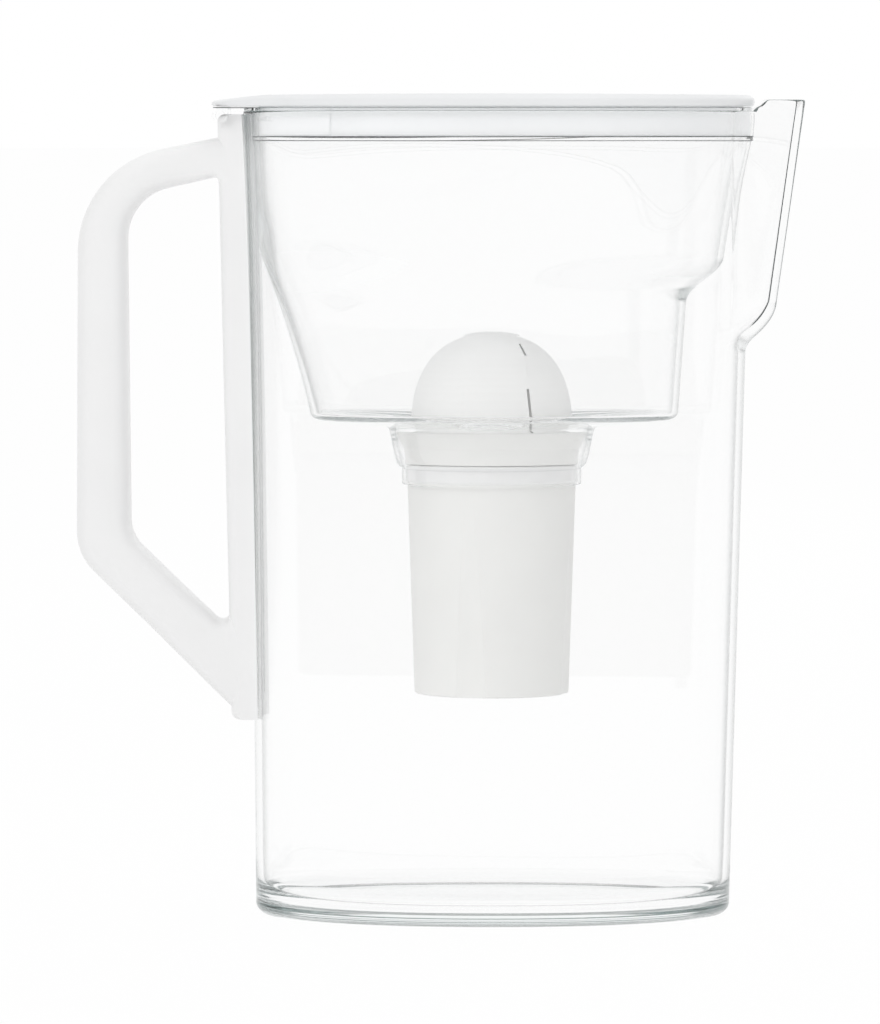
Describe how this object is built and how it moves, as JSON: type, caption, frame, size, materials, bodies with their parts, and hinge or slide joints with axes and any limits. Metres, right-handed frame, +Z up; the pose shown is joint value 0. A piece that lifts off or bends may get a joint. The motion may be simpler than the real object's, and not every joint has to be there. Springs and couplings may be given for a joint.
{
  "type": "water filter pitcher",
  "caption": "Clear oval water filter pitcher with a beak spout and loop handle, a lift-out hopper holding a drop-in filter cartridge, and a lid that flips up on a rear hinge.",
  "frame": {"origin": "centre of the cartridge's axis on the surface that the jug stands on", "axes": "+Z up, +X from the handle towards the spout, +Y across the width"},
  "size_m": [0.2393, 0.1098, 0.2696],
  "materials": {
    "clear_plastic": "polished clear",
    "handle_white": "satin",
    "lid_white": "satin",
    "liner_white": "satin",
    "cartridge_white": "fine matt",
    "seal_white": "matt",
    "screen_white": "matt",
    "fleece": "felted",
    "resin": "granular",
    "carbon": "granular"
  },
  "bodies": {
    "jug": {"jug_shell": "clear_plastic", "handle_spine": "handle_white", "handle_shell_near": "handle_white", "handle_shell_far": "handle_white"},
    "hopper": {"hopper_shell": "clear_plastic"},
    "lid": {"lid_cover": "lid_white", "lid_liner": "liner_white", "lid_hinge": "clear_plastic"},
    "cartridge": {"cartridge_cup": "cartridge_white", "cartridge_dome": "cartridge_white", "cartridge_seal": "seal_white", "inlet_screen": "screen_white", "top_fleece": "fleece", "carbon_bed": "carbon", "divider_fleece": "fleece", "resin_bed": "resin", "bottom_fleece": "fleece", "outlet_grid": "screen_white"}
  },
  "joints": [
    {"name": "hopper_lift", "type": "slide", "parent": "jug", "child": "hopper", "axis": [0, 0, 1], "range_m": [0, 0.2]},
    {"name": "lid_flip", "type": "hinge", "parent": "hopper", "child": "lid", "pos_m": [-0.0885, 0, 0.2623], "axis": [0, -1, 0], "range_deg": [0, 100]},
    {"name": "cartridge_lift", "type": "slide", "parent": "hopper", "child": "cartridge", "axis": [0, 0, 1], "range_m": [0, 0.07]}
  ]
}
